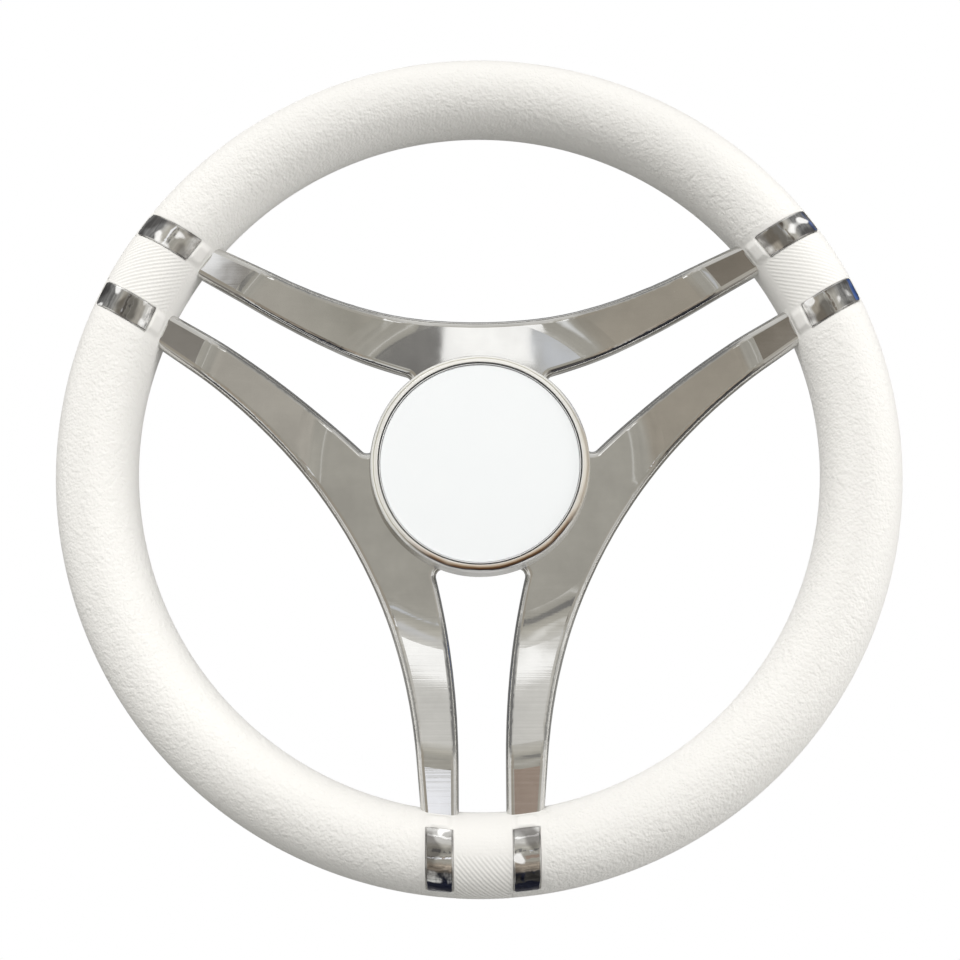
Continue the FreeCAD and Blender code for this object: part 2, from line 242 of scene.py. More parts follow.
# Colours that a mirror sees by elevation in degrees, from straight down to straight up:
# towards the driver, to the sides and behind the wheel
room = {
    "front": (
        (-90, rgb(0.012, 0.014, 0.026)),
        (-55, rgb(0.014, 0.016, 0.030)),
        (-45, rgb(0.040, 0.042, 0.055)),
        (-38, rgb(0.150, 0.140, 0.130)),
        (-32, rgb(0.290, 0.265, 0.230)),
        (-23, rgb(0.430, 0.400, 0.350)),
        (-11, rgb(0.410, 0.395, 0.350)),
        (4, rgb(0.440, 0.425, 0.385)),
        (16, rgb(0.460, 0.445, 0.400)),
        (23, rgb(0.560, 0.540, 0.490)),
        (29, rgb(0.650, 0.635, 0.600)),
        (34, rgb(0.740, 0.730, 0.705)),
        (40, rgb(0.720, 0.710, 0.690)),
        (50, rgb(0.680, 0.670, 0.650)),
        (62, rgb(0.800, 0.795, 0.780)),
        (76, rgb(1.000, 1.000, 0.990)),
        (90, rgb(1.050, 1.050, 1.050)),
    ),
    "side": (
        (-90, rgb(0.012, 0.014, 0.026)),
        (-60, rgb(0.030, 0.032, 0.045)),
        (-30, rgb(0.300, 0.280, 0.250)),
        (-10, rgb(0.860, 0.850, 0.830)),
        (8, rgb(0.800, 0.790, 0.770)),
        (20, rgb(0.350, 0.345, 0.330)),
        (34, rgb(0.200, 0.200, 0.200)),
        (46, rgb(0.300, 0.300, 0.300)),
        (62, rgb(0.700, 0.700, 0.690)),
        (90, rgb(0.950, 0.950, 0.950)),
    ),
    "back": (
        (-90, rgb(0.012, 0.014, 0.026)),
        (-76, rgb(0.050, 0.050, 0.060)),
        (-62, rgb(0.700, 0.700, 0.690)),
        (-30, rgb(0.450, 0.440, 0.420)),
        (-5, rgb(0.350, 0.345, 0.330)),
        (5, rgb(0.200, 0.200, 0.200)),
        (30, rgb(0.160, 0.160, 0.160)),
        (58, rgb(0.300, 0.300, 0.300)),
        (80, rgb(0.900, 0.900, 0.900)),
        (90, rgb(0.950, 0.950, 0.950)),
    ),
    "sideFrom": (22, 48),
    "backFrom": (75, 105),
    "cloudScale": 13.0,
    "cloudDepth": 0.4,
    "cloudWild": 2.2,                 # added away from the middle of the front
    "wildAside": (32, 55),
    "wildBelow": (12, 32),
    "warpScale": 9.0,                 # makes every boundary wander by a degree or two
    "warp": 5.0,
}

# Patches in that room: azimuth and elevation of the middle, half sizes, softness, colour
roomPatches = (
    ((-26.0, 0.0), (14.0, 20.0), 0.40, rgb(0.400, 0.365, 0.310)),
    ((26.0, 2.0), (12.0, 12.0), 0.40, rgb(0.480, 0.455, 0.410)),
    ((18.0, -50.0), (10.0, 25.0), 0.20, rgb(0.050, 0.048, 0.046)),
    ((-20.0, -48.0), (12.0, 22.0), 0.30, rgb(0.700, 0.700, 0.680)),
    ((0.0, -30.0), (14.0, 11.0), 0.50, rgb(0.400, 0.345, 0.285)),
    ((-5.0, -3.5), (2.4, 3.6), 0.50, rgb(0.850, 0.860, 0.870)),
    ((8.5, -6.5), (1.5, 2.6), 0.50, rgb(0.640, 0.630, 0.590)),
    ((12.0, 15.0), (5.6, 4.6), 0.30, rgb(0.560, 0.540, 0.500)),
    ((12.0, 15.1), (4.2, 3.3), 0.15, rgb(0.225, 0.198, 0.165)),
    ((-11.0, 15.0), (5.6, 4.6), 0.30, rgb(0.600, 0.585, 0.550)),
    ((-11.0, 14.8), (4.2, 2.6), 0.15, rgb(0.255, 0.238, 0.215)),
    ((-11.4, 17.6), (3.4, 2.1), 0.20, rgb(1.100, 1.110, 1.140)),
    ((-1.2, -0.4), (1.2, 1.5), 0.20, rgb(0.240, 0.225, 0.200)),
    ((-1.8, -4.7), (1.9, 2.2), 0.15, rgb(1.150, 1.170, 1.250)),
    ((2.2, -4.6), (1.9, 3.6), 0.20, rgb(0.385, 0.305, 0.255)),
    ((3.9, 12.6), (1.6, 1.5), 0.25, rgb(0.720, 0.745, 0.800)),
    ((-2.3, 12.7), (1.5, 2.6), 0.10, rgb(0.225, 0.220, 0.215)),
    ((111.0, 30.0), (11.0, 11.0), 0.40, rgb(0.090, 0.160, 0.420)),
    ((1.6, 8.0), (0.5, 3.4), 0.40, rgb(0.720, 0.710, 0.680)),
    ((125.0, -38.0), (28.0, 28.0), 0.30, rgb(0.200, 0.190, 0.170)),
    ((-125.0, -38.0), (28.0, 28.0), 0.30, rgb(0.200, 0.190, 0.170)),
    ((-6.2, 27.0), (1.3, 4.5), 0.60, rgb(0.880, 0.870, 0.840)),
    ((8.2, 25.0), (1.6, 5.0), 0.60, rgb(0.660, 0.660, 0.670)),
)


def rampOf(tree, elevation, stops):
    places = [((height + 90) / 180, colour) for height, colour in stops]
    return tree.add("ValToRGB", {"stops": places}, {"Fac": (elevation + 90) / 180})["Color"]


def mirrorRoom(tree, direction, parts):
    toDegrees = 180 / math.pi
    azimuth = tree.maths("ARCTAN2", parts["X"], parts["Y"] * -1) * toDegrees
    elevation = tree.maths("ARCSINE", parts["Z"]) * toDegrees
    warp = tree.add("SeparateXYZ", {}, {"Vector": tree.cloud(direction, room["warpScale"], 1.0)["Color"]})
    azimuth = azimuth + (warp["X"] - 0.5) * room["warp"]
    elevation = elevation + (warp["Y"] - 0.5) * room["warp"]
    aside = tree.maths("ABSOLUTE", azimuth)
    seen = tree.blend(tree.ease(aside, *room["sideFrom"]), rampOf(tree, elevation, room["front"]),
                      rampOf(tree, elevation, room["side"]))
    seen = tree.blend(tree.ease(aside, *room["backFrom"]), seen, rampOf(tree, elevation, room["back"]))
    for (patchAzimuth, patchElevation), (halfWidth, halfHeight), softness, colour in roomPatches:
        across = (azimuth - patchAzimuth) / halfWidth
        along = (elevation - patchElevation) / halfHeight
        reach = tree.maths("SQRT", across * across + along * along)
        inside = 1 - tree.ease(reach, 1 - softness, 1 + softness)
        seen = tree.blend(inside, seen, colour)
    cloud = tree.cloud(direction, room["cloudScale"], 3.0, 0.55)
    wild = tree.maths("MAXIMUM", tree.ease(aside, *room["wildAside"]),
                      tree.ease(elevation * -1, *room["wildBelow"]))
    return tree.scale(seen, 1 + (cloud - 0.5) * (wild * room["cloudWild"] + room["cloudDepth"]))


def softSky(tree, parts):
    level = parts["Z"] * studio["skyFromTop"] - parts["Y"] * studio["skyFromDriver"] + studio["skyLevel"]
    return tree.scale(studio["skyTint"], tree.maths("MAXIMUM", level, studio["skyLeast"]))


def buildWorld():
    world = bpy.data.worlds.new("studio")
    world.use_nodes = True
    bpy.context.scene.world = world
    tree = Tree(world.node_tree)
    direction = tree.add("TexCoord")["Generated"]
    parts = tree.add("SeparateXYZ", {}, {"Vector": direction})
    path = tree.add("LightPath")
    mirror = tree.maths("MAXIMUM", path["Is Glossy Ray"], path["Is Transmission Ray"])
    seen = tree.blend(mirror, softSky(tree, parts), mirrorRoom(tree, direction, parts))
    seen = tree.blend(path["Is Camera Ray"], seen, rgb(1, 1, 1))
    tree.feed(world.node_tree.nodes["Background"].inputs["Color"], seen)


def addFloor():
    bm = bmesh.new()
    bmesh.ops.create_grid(bm, x_segments=1, y_segments=1, size=studio["floorHalfSide"])
    floor = addMesh(bm, "floor")
    floor.data.transform(Matrix.Translation((0, 0, studio["floorHeight"])))
    floor.visible_glossy = False      # mirrors see the room below instead
    material, tree, shader = newMaterial("floorPaint", {"Roughness": studio["floorRoughness"]})
    camera = tree.add("LightPath")["Is Camera Ray"]
    tree.feed(shader.inputs["Base Color"], tree.blend(camera, studio["floorBounce"], studio["floorColour"]))
    glow = tree.add("Emission", {}, {"Color": rgb(1, 1, 1), "Strength": 1.0})
    parts = tree.add("SeparateXYZ", {}, {"Vector": tree.add("TexCoord")["Object"]})
    distance = tree.maths("SQRT", parts["X"] * parts["X"] + parts["Y"] * parts["Y"])
    clear = tree.maths("MAXIMUM", tree.ease(distance, *studio["floorClear"]), studio["floorLeastClear"])
    mixed = tree.add("MixShader", {}, {"Fac": camera * clear, "Shader": Wire(tree, shader.outputs["BSDF"]),
                                       "Shader_001": glow})
    tree.feed(material.node_tree.nodes["Material Output"].inputs["Surface"], mixed)
    floor.data.materials.append(material)


# A white sheet close to the wheel that only mirrors see: the bright patch over the hub
sheet = {"low": (-0.019, 0.102), "high": (0.034, 0.145), "plane": -0.30, "glow": 1.25}


def addSheet():
    lowX, lowZ = sheet["low"]
    highX, highZ = sheet["high"]
    bm = bmesh.new()
    bmesh.ops.create_grid(bm, x_segments=1, y_segments=1, size=0.5)
    bmesh.ops.scale(bm, verts=bm.verts, vec=(highX - lowX, highZ - lowZ, 1))
    bmesh.ops.rotate(bm, verts=bm.verts, matrix=Matrix.Rotation(math.radians(90), 3, "X"))
    bmesh.ops.translate(bm, verts=bm.verts, vec=((lowX + highX) / 2, sheet["plane"], (lowZ + highZ) / 2))
    card = addMesh(bm, "whiteSheet")
    card.visible_camera = False
    card.visible_diffuse = False
    card.visible_shadow = False
    glow = sheet["glow"]
    constants = {"Base Color": rgb(0, 0, 0), "Emission Color": rgb(glow, glow, glow),
                 "Emission Strength": 1.0}
    card.data.materials.append(newMaterial("sheetGlow", constants)[0])


lamps = (
    {"name": "key", "place": (-0.97, -1.70, 2.0), "size": 1.0, "watts": 31, "colour": (1.0, 0.99, 0.975)},
    {"name": "side", "place": (2.0, -0.35, -0.23), "size": 0.8, "watts": 17.5, "colour": (1.0, 0.99, 0.98)},
    {"name": "rear", "place": (-0.5, 1.5, 1.0), "size": 1.0, "watts": 12, "colour": (1.0, 1.0, 1.0)},
)


def addLamps():
    aim = Vector((0, wheel["rimPlane"], 0))
    for lamp in lamps:
        data = bpy.data.lights.new(lamp["name"], "AREA")
        data.shape = "DISK"
        data.size = lamp["size"]
        data.energy = lamp["watts"]
        data.color = lamp["colour"]
        light = bpy.data.objects.new(lamp["name"], data)
        bpy.context.scene.collection.objects.link(light)
        light.location = lamp["place"]
        light.rotation_euler = (aim - Vector(lamp["place"])).to_track_quat("-Z", "Y").to_euler()
        light.visible_glossy = False


buildWorld()
addFloor()
addSheet()
addLamps()
bpy.context.scene.view_settings.view_transform = "Standard"
print("studio set")


# Steel

def polar(tree, point):               # distance from the wheel's axis and angle round it
    parts = tree.add("SeparateXYZ", {}, {"Vector": point})
    x = parts["X"]
    z = parts["Z"]
    return tree.maths("SQRT", x * x + z * z), tree.maths("ARCTAN2", z, x)


# Each wave is a noise scale and a depth. Marks are polishing marks: round the wheel's axis, or level
# ones that are strong below the hub and faint above it
steel = {
    "spider": {"dark": rgb(0.69, 0.685, 0.665), "light": rgb(0.79, 0.785, 0.765), "roughness": 0.065,
               "waves": ((24.0, 0.00026), (70.0, 0.00003)), "markScale": (900, 6), "markDepth": 0.000009,
               "levelBelow": (0.040, 0.070)},
    "band": {"dark": rgb(0.66, 0.655, 0.64), "light": rgb(0.86, 0.855, 0.84), "roughness": 0.045,
             "waves": ((150.0, 0.00030), (420.0, 0.00003)), "markScale": (900, 6), "markDepth": 0.000001,
             # painted dark reflections and painted highlights of the small curved plates: noise scale, their
             # spans, and the heights below which they are left out
             "blotches": (150.0, (0.45, 0.64), (0.63, 0.70)), "clearBelow": (-0.1635, -0.1605)},
    # the lip's near black steel is painted shade: the dark line between the white insert and the hub ring
    "lip": {"dark": rgb(0.07, 0.07, 0.08), "light": rgb(0.13, 0.13, 0.13), "roughness": 0.08,
            "waves": ((40.0, 0.00012), (160.0, 0.00003)), "markScale": (700, 4), "markDepth": 0.000001,
            "paleInside": (0.04100, 0.04120)},
    "bar": {"dark": rgb(0.48, 0.48, 0.47), "light": rgb(0.64, 0.64, 0.63), "roughness": 0.3,
            "waves": ((20.0, 0.00010), (120.0, 0.00002)), "markScale": (1500, 10), "markDepth": 0.000010},
}

# What doesn't change from finish to finish
polish = {
    "markLeast": 0.15,                # what is left of the level marks above the hub
    "markContrast": 1.5,
    "hazeScale": 60.0,
    "hazeDark": 0.83,
    "hazeDepth": 0.30,
    "roughnessChange": 0.06,
    # colours of the painted dark reflections and painted highlights on the small curved plates
    "stain": rgb(0.34, 0.33, 0.32),
    "gleam": rgb(0.97, 0.97, 0.97),
    "pale": rgb(0.95, 0.95, 0.95),
    "whiteCover": 0.85,               # how much metal the painted highlight and the pale edge hide
}


def steelPaint(name):
    finish = steel[name]
    material, tree, shader = newMaterial(name + "Steel", {"Metallic": 1.0})
    point = tree.add("TexCoord")["Object"]
    across, along = polar(tree, point)
    strength = 1.0
    if "levelBelow" in finish:
        parts = tree.add("SeparateXYZ", {}, {"Vector": point})
        across, along = parts["Z"], parts["X"]
        strength = tree.ease(across * -1, *finish["levelBelow"])
    fine, long = finish["markScale"]
    marks = tree.cloud(tree.add("CombineXYZ", {}, {"X": across * fine, "Y": along * long}), 1.0, 3.0, 0.6)
    shown = polish["markLeast"] + strength * (1 - polish["markLeast"])
    marks = (marks - 0.5) * shown * polish["markContrast"] + 0.5
    colour = tree.blend(marks, finish["dark"], finish["light"])
    if "blotches" in finish:          # painted dark reflections and painted highlights on the small curved plates
        scale, darkReflectionSpan, bright = finish["blotches"]
        stain = tree.cloud(point, scale, 0.6, 0.4)
        clear = tree.ease(tree.add("SeparateXYZ", {}, {"Vector": point})["Z"], *finish["clearBelow"])
        colour = tree.blend(tree.ease(1 - stain, *darkReflectionSpan) * clear, colour, polish["stain"])
        gleam = tree.ease(stain, *bright) * clear
        colour = tree.blend(gleam, colour, polish["gleam"])
        tree.feed(shader.inputs["Metallic"], 1 - gleam * polish["whiteCover"])
    if "paleInside" in finish:        # the lip's inner edge carries the white of the insert beside it
        pale = 1 - tree.ease(polar(tree, point)[0], *finish["paleInside"])
        colour = tree.blend(pale, colour, polish["pale"])
        tree.feed(shader.inputs["Metallic"], 1 - pale * polish["whiteCover"])
    haze = tree.cloud(point, polish["hazeScale"], 3.0, 0.6)
    tree.feed(shader.inputs["Base Color"],
              tree.scale(colour, polish["hazeDark"] + haze * polish["hazeDepth"]))
    change = polish["roughnessChange"]
    tree.feed(shader.inputs["Roughness"],
              finish["roughness"] + (haze - 0.5) * change + (marks - 0.5) * change)
    normal = None
    for scale, depth in finish["waves"]:
        normal = tree.bump(tree.cloud(point, scale, 1.5, 0.45), depth, normal)
    tree.feed(shader.inputs["Normal"], tree.bump(marks, finish["markDepth"], normal))
    return material


# The hub ring is a turned, buffed bead whose colours are painted reflections and highlights: a bright top, a
# darker right part and below a dark copper band with a white crescent, crossed by thin painted dark lines.
# Stops are distances from the axis in mm
hubRing = {
    "upper": (
        (41.6, rgb(0.97, 0.96, 0.93)),
        (43.1, rgb(0.96, 0.95, 0.92)),
        (43.4, rgb(0.38, 0.36, 0.25)),
        (43.7, rgb(0.97, 0.96, 0.92)),
        (44.5, rgb(0.99, 0.99, 0.98)),
        (44.8, rgb(0.20, 0.20, 0.18)),
    ),
    "right": (
        (41.6, rgb(0.95, 0.94, 0.92)),
        (42.8, rgb(0.88, 0.84, 0.76)),
        (43.8, rgb(0.50, 0.44, 0.36)),
        (44.4, rgb(0.72, 0.66, 0.56)),
        (45.1, rgb(0.90, 0.88, 0.84)),
    ),
    "lower": (
        (41.6, rgb(0.90, 0.88, 0.84)),
        (42.5, rgb(0.62, 0.50, 0.38)),
        (43.1, rgb(0.20, 0.10, 0.04)),
        (43.9, rgb(0.06, 0.05, 0.05)),
        (44.2, rgb(0.97, 0.97, 0.97)),
        (45.1, rgb(0.98, 0.98, 0.98)),
    ),
    "radii": (41.6, 45.2),
    "metallic": 0.35,
    "wanderScale": 90.0,
    "wander": 0.0009,                 # metres by which the painted reflection lines stray
    "wanderRound": 0.4,
    # radians from +X down to the middle of the part, and the cosines between which it comes in
    "arcs": {"right": (0.35, (0.55, 0.95)), "lower": (1.35, (0.45, 0.9))},
    "markScale": (3500, 5),
    "markShade": (0.90, 0.12),
    "roughness": (0.10, 0.06),
    "waveDepth": 0.00012,
}


def ringRamp(tree, radius, stops):
    low, high = hubRing["radii"]
    places = [((place - low) / (high - low), colour) for place, colour in stops]
    return tree.add("ValToRGB", {"stops": places}, {"Fac": (radius * 1000 - low) / (high - low)})["Color"]


def ringPart(tree, angle, wander, part):         # 1 in that part of the ring, 0 outside it
    turn, span = hubRing["arcs"][part]
    return tree.ease(tree.maths("COSINE", angle + turn) + wander * hubRing["wanderRound"], *span)


def ringReflectionPaint():
    material, tree, shader = newMaterial("ringSteelPaintedReflections", {"Metallic": hubRing["metallic"]})
    point = tree.add("TexCoord")["Object"]
    radius, angle = polar(tree, point)
    wander = tree.cloud(point, hubRing["wanderScale"], 2.0, 0.5) - 0.5
    fine, long = hubRing["markScale"]
    marks = tree.cloud(tree.add("CombineXYZ", {}, {"X": radius * fine, "Y": angle * long}), 1.0, 2.0, 0.5)
    edge = radius + wander * hubRing["wander"]
    right = ringPart(tree, angle, wander, "right")
    lower = ringPart(tree, angle, wander, "lower")
    # painted reflections and highlights: the upper ramp, blended into the right and lower ones by angle round
    # the ring
    colour = tree.blend(right, ringRamp(tree, edge, hubRing["upper"]), ringRamp(tree, edge, hubRing["right"]))
    colour = tree.blend(lower, colour, ringRamp(tree, edge, hubRing["lower"]))
    shadeLow, shadeRise = hubRing["markShade"]
    tree.feed(shader.inputs["Base Color"], tree.scale(colour, shadeLow + marks * shadeRise))
    roughLow, roughRise = hubRing["roughness"]
    tree.feed(shader.inputs["Roughness"], roughLow + marks * roughRise)
    tree.feed(shader.inputs["Normal"], tree.bump(wander, hubRing["waveDepth"]))
    return material


def dressSteel():
    pieces = {"spider": ["spoke_frame"], "lip": ["cap_body"],
              "bar": ["hub_boss", "rim_core", "boss_screws"],
              "band": [name for name in nodes if name.startswith("band")]}
    for finish, names in pieces.items():
        material = steelPaint(finish)
        for name in names:
            dress(nodes[name], material)
    dress(nodes["hub_ring"], ringReflectionPaint())


dressSteel()


# Mesh helpers

def roundEdges(bm, edges, radius, segments):
    bmesh.ops.bevel(bm, geom=edges, offset=radius, offset_type="OFFSET", affect="EDGES",
                    segments=segments, profile=0.5, material=-1, clamp_overlap=True)


def finishMesh(bm, name):
    for face in bm.faces:
        face.smooth = True
    piece = addMesh(bm, name)
    evenNormals = piece.modifiers.new("evenNormals", "WEIGHTED_NORMAL")
    evenNormals.mode = "FACE_AREA"
    return piece


# Centre cap

capWhite = {
    "constants": {"Roughness": 0.6, "Specular IOR Level": 0.25},
    "dark": rgb(0.885, 0.91, 0.93),
    "light": rgb(0.905, 0.925, 0.94),
    "hazeScale": 60.0,
    "grainScale": 1800.0,
    "grainDepth": 0.00002,
}


def capWhitePaint():
    material, tree, shader = newMaterial("capWhite", capWhite["constants"])
    point = tree.add("TexCoord")["Object"]
    haze = tree.cloud(point, capWhite["hazeScale"], 3.0, 0.6)
    tree.feed(shader.inputs["Base Color"], tree.blend(haze, capWhite["dark"], capWhite["light"]))
    grain = tree.cloud(point, capWhite["grainScale"], 2.0, 0.6)
    tree.feed(shader.inputs["Normal"], tree.bump(grain, capWhite["grainDepth"]))
    return material


# The white insert: a shallow dome with a rounded rim, in the CAD insert's own box
capFace = {
    "dome": 0.0006,
    "domeSteps": 14,
    "edgeRound": 0.0004,
    "edgeSteps": 4,
    "turns": 128,
    "merge": 0.000001,                # points of the spin that meet on the axis
    "near": 0.00001,                  # how close to the shoulder a point counts as on it
}


def buildCapFace():
    low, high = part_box("cap_insert")
    radius = high[0]
    shoulder = low[1] + capFace["dome"]
    bm = bmesh.new()
    corners = [bm.verts.new((x, y, 0)) for x, y in
               ((0, low[1]), (radius, shoulder), (radius, high[1]), (0, high[1]))]
    sides = [bm.edges.new(pair) for pair in zip(corners, corners[1:])]
    bmesh.ops.subdivide_edges(bm, edges=sides[:1], cuts=capFace["domeSteps"])
    for vert in bm.verts:
        if vert.co.y < shoulder:
            vert.co.y = low[1] + capFace["dome"] * (vert.co.x / radius) ** 2
    bmesh.ops.spin(bm, geom=bm.verts[:] + bm.edges[:], cent=(0, 0, 0), axis=(0, 1, 0),
                   angle=math.tau, steps=capFace["turns"], use_merge=True)
    bmesh.ops.remove_doubles(bm, verts=bm.verts, dist=capFace["merge"])
    bmesh.ops.recalc_face_normals(bm, faces=bm.faces)
    rim = [edge for edge in bm.edges
           if all(abs(vert.co.y - shoulder) < capFace["near"] for vert in edge.verts)]
    roundEdges(bm, rim, capFace["edgeRound"], capFace["edgeSteps"])
    return finishMesh(bm, "capFace")


seal = {"colour": rgb(0.02, 0.02, 0.02), "bloomScale": 400.0, "roughness": (0.4, 0.25)}


def sealPaint():
    material, tree, shader = newMaterial("sealRubber", {"Base Color": seal["colour"]})
    bloom = tree.cloud(tree.add("TexCoord")["Object"], seal["bloomScale"], 3.0, 0.6)
    roughLow, roughRise = seal["roughness"]
    tree.feed(shader.inputs["Roughness"], roughLow + bloom * roughRise)
    return material


capSkin = buildCapFace()
capSkin.data.materials.append(capWhitePaint())
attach(capSkin, "centre_cap")
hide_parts("cap_insert")
dress(nodes["cap_seal"], sealPaint())
print("steel and cap finished")


# Grip: one foam moulding with six pockets for the bands, a soft raised tab on the hub side of each
# and a ribbed panel between the two bands of a pair, carried on round the back

grip = {
    "tubeSteps": 72,
    "rimSteps": 300,
    "panelSteps": 5,                  # columns from a gap's middle to its first band
    "bandSteps": 4,                   # columns across a band
    "evenRows": (-50, 40, 65),        # tube angles of the even rows that move to a pocket's or tab's end
    "merge": 0.00002,
    "pocketGap": 0.0001,
    "pocketDepth": 0.00105,
    "pocketCorner": 0.0013,
    "cornerSteps": 4,
    "cornerNear": 0.5,                # degrees from the pocket's end that still count as its corner
    "pocketRound": 0.00025,
    "roundSteps": 2,
    "rimFold": 60,                    # a pocket's rim is where the surface turns by more than this
    "tabHeight": 0.0011,
    "tabEnd": 67,                     # tube angle where the tab has sunk into the grip
    "tabFade": 9,
    "tabStart": 3,
    "tabStep": 0.4,                   # share of its height that it has at the pocket
    "tabSide": 0.0030,
    "tabCuts": (4, 2),                # cuts along the rim and round the tube
    "tabCutFrom": 1,                  # degrees past the pocket's end
    "tabGrain": 0.15,
    "tabGrainEdge": 0.0004,
    "tabGrainTail": 3,
    "ribPitch": 0.0015,
    "ribHeight": 0.00019,
    "ribSlant": 50,                   # degrees from the rim's direction
    "ribEnds": {30: (60, 120), 150: (60, 120), 270: (8, 120)},   # smooth between these tube angles
    "ribFade": 8,
    "ribEdge": (0.0011, 0.0005),      # from a panel's edge, where ribs are full and where they end
    "ribCuts": (6, 3),
    "ribRows": ((-180, 62), (118, 180)),
}
pocketNear = wheel["bandNear"] - grip["pocketGap"]
pocketFar = wheel["bandFar"] + grip["pocketGap"]
pocketSpare = math.degrees(grip["pocketGap"] / wheel["tubeRadius"])
pocketOuter = wheel["bandOuter"] - pocketSpare
pocketInner = wheel["bandInner"] + pocketSpare


def tubeAngle(point):
    outward = math.hypot(point.x, point.z) - wheel["rimRadius"]
    return math.degrees(math.atan2(-outward, wheel["rimPlane"] - point.y))


def tubeDistance(point):              # from the middle line of the rim's tube
    return math.hypot(math.hypot(point.x, point.z) - wheel["rimRadius"], point.y - wheel["rimPlane"])


def nearestGap(point):                # the gap's angle, and how far round from it the point is
    angle = math.degrees(math.atan2(point.z, point.x))
    turns = [((angle - gap + 180) % 360 - 180, gap) for gap in wheel["gapAngles"]]
    offset, gap = min(turns, key=lambda turn: abs(turn[0]))
    return gap, math.radians(offset)


def besideGap(point):                 # signed distance from the middle plane of the nearest gap
    offset = nearestGap(point)[1]
    return math.hypot(point.x, point.z) * math.sin(offset)


def tubeNormal(point):
    angle = math.atan2(point.z, point.x)
    middle = Vector((math.cos(angle), 0, math.sin(angle))) * wheel["rimRadius"]
    middle.y = wheel["rimPlane"]
    return (point - middle).normalized()


def stepped(value, stops):            # straight lines through the pairs of stops
    for (low, lowTo), (high, highTo) in zip(stops, stops[1:]):
        if value <= high:
            break
    return lowTo + (value - low) / (high - low) * (highTo - lowTo)


def easeStep(value, low, high):
    share = min(max((value - low) / (high - low), 0), 1)
    return share * share * (3 - 2 * share)


def gripSection(bm):                  # a circle whose points meet the pockets' and tabs' ends
    moved = zip(grip["evenRows"], (pocketOuter, pocketInner, grip["tabEnd"]))
    rows = ((-180, -180), *moved, (180, 180))
    radius = wheel["tubeRadius"]
    bmesh.ops.create_circle(bm, segments=grip["tubeSteps"], radius=radius)
    for vert in bm.verts:
        angle = stepped(math.degrees(math.atan2(-vert.co.x, -vert.co.y)), rows)
        turn = math.radians(angle)
        vert.co = Vector((-radius * math.sin(turn), -radius * math.cos(turn), 0))
    bmesh.ops.translate(bm, verts=bm.verts, vec=(wheel["rimRadius"], wheel["rimPlane"], 0))


def slideColumns(bm):                 # columns near a gap become parallel to its middle plane
    step = math.tau / grip["rimSteps"]
    lastStep = grip["panelSteps"] + grip["bandSteps"]
    sectorSteps = grip["rimSteps"] / len(wheel["gapAngles"]) / 2
    stops = ((0, 0), (grip["panelSteps"], pocketNear), (lastStep, pocketFar))
    for vert in bm.verts:
        radius = math.hypot(vert.co.x, vert.co.z)
        gap, offset = nearestGap(vert.co)
        count = abs(offset) / step
        turn = math.asin(stepped(min(count, lastStep), stops) / radius)
        if count > lastStep:
            share = (count - lastStep) / (sectorSteps - lastStep)
            turn += share * (sectorSteps * step - turn)
        angle = math.radians(gap) + math.copysign(turn, offset)
        vert.co = Vector((radius * math.cos(angle), vert.co.y, radius * math.sin(angle)))


def facesBetween(bm, columns, rows):
    found = []
    for face in bm.faces:
        middle = face.calc_center_median()
        if columns[0] < abs(besideGap(middle)) < columns[1] and rows[0] < tubeAngle(middle) < rows[1]:
            found.append(face)
    return found


def sinkPockets(bm):
    faces = facesBetween(bm, (pocketNear, pocketFar), (pocketOuter, pocketInner))
    made = bmesh.ops.extrude_face_region(bm, geom=faces)["geom"]
    bmesh.ops.delete(bm, geom=faces, context="FACES")
    for item in made:
        if isinstance(item, bmesh.types.BMVert):
            item.co -= tubeNormal(item.co) * grip["pocketDepth"]


def pocketCorners(bm):                # the upright edges at a pocket's end away from the hub
    corners = []
    for edge in bm.edges:
        first, last = (vert.co for vert in edge.verts)
        upright = abs(tubeDistance(first) - tubeDistance(last)) > grip["pocketDepth"] / 2
        across = abs(besideGap(first))
        atSide = min(abs(across - pocketNear), abs(across - pocketFar)) < grip["pocketGap"]
        if upright and atSide and abs(tubeAngle(first) - pocketOuter) < grip["cornerNear"]:
            corners.append(edge)
    return corners


def pocketRims(bm):                   # edges where a pocket's wall meets the grip's surface
    surface = wheel["tubeRadius"] - grip["pocketDepth"] / 4
    return [edge for edge in bm.edges
            if min(tubeDistance(vert.co) for vert in edge.verts) > surface
            and len(edge.link_faces) == 2 and edge.calc_face_angle() > math.radians(grip["rimFold"])]


def refine(bm, columns, rows, rimCuts, tubeCuts):
    mostly = 0.7                      # share of an edge's length that makes it run along the rim
    for alongRim, cuts in ((True, rimCuts), (False, tubeCuts)):
        edges = set()
        for face in facesBetween(bm, columns, rows):
            for edge in face.edges:
                spread = abs(besideGap(edge.verts[0].co) - besideGap(edge.verts[1].co))
                if (spread > edge.calc_length() * mostly) == alongRim:
                    edges.add(edge)
        bmesh.ops.subdivide_edges(bm, edges=list(edges), cuts=cuts, use_grid_fill=True)


def tabShare(point):                  # 1 on top of a tab and 0 beside it
    middle = (pocketNear + pocketFar) / 2
    halfWidth = (pocketFar - pocketNear) / 2
    side = 1 - easeStep(abs(abs(besideGap(point)) - middle), halfWidth - grip["tabSide"], halfWidth)
    angle = tubeAngle(point)
    step = grip["tabStep"]
    start = step + (1 - step) * easeStep(angle, pocketInner, pocketInner + grip["tabStart"])
    return side * start * (1 - easeStep(angle, grip["tabEnd"] - grip["tabFade"], grip["tabEnd"]))


def raiseTabs(bm):
    surface = wheel["tubeRadius"] - grip["pocketDepth"] / 2
    for vert in bm.verts:
        onTab = pocketInner - pocketSpare / 2 < tubeAngle(vert.co) < grip["tabEnd"]
        if onTab and pocketNear < abs(besideGap(vert.co)) < pocketFar and tubeDistance(vert.co) > surface:
            vert.co += tubeNormal(vert.co) * grip["tabHeight"] * tabShare(vert.co)


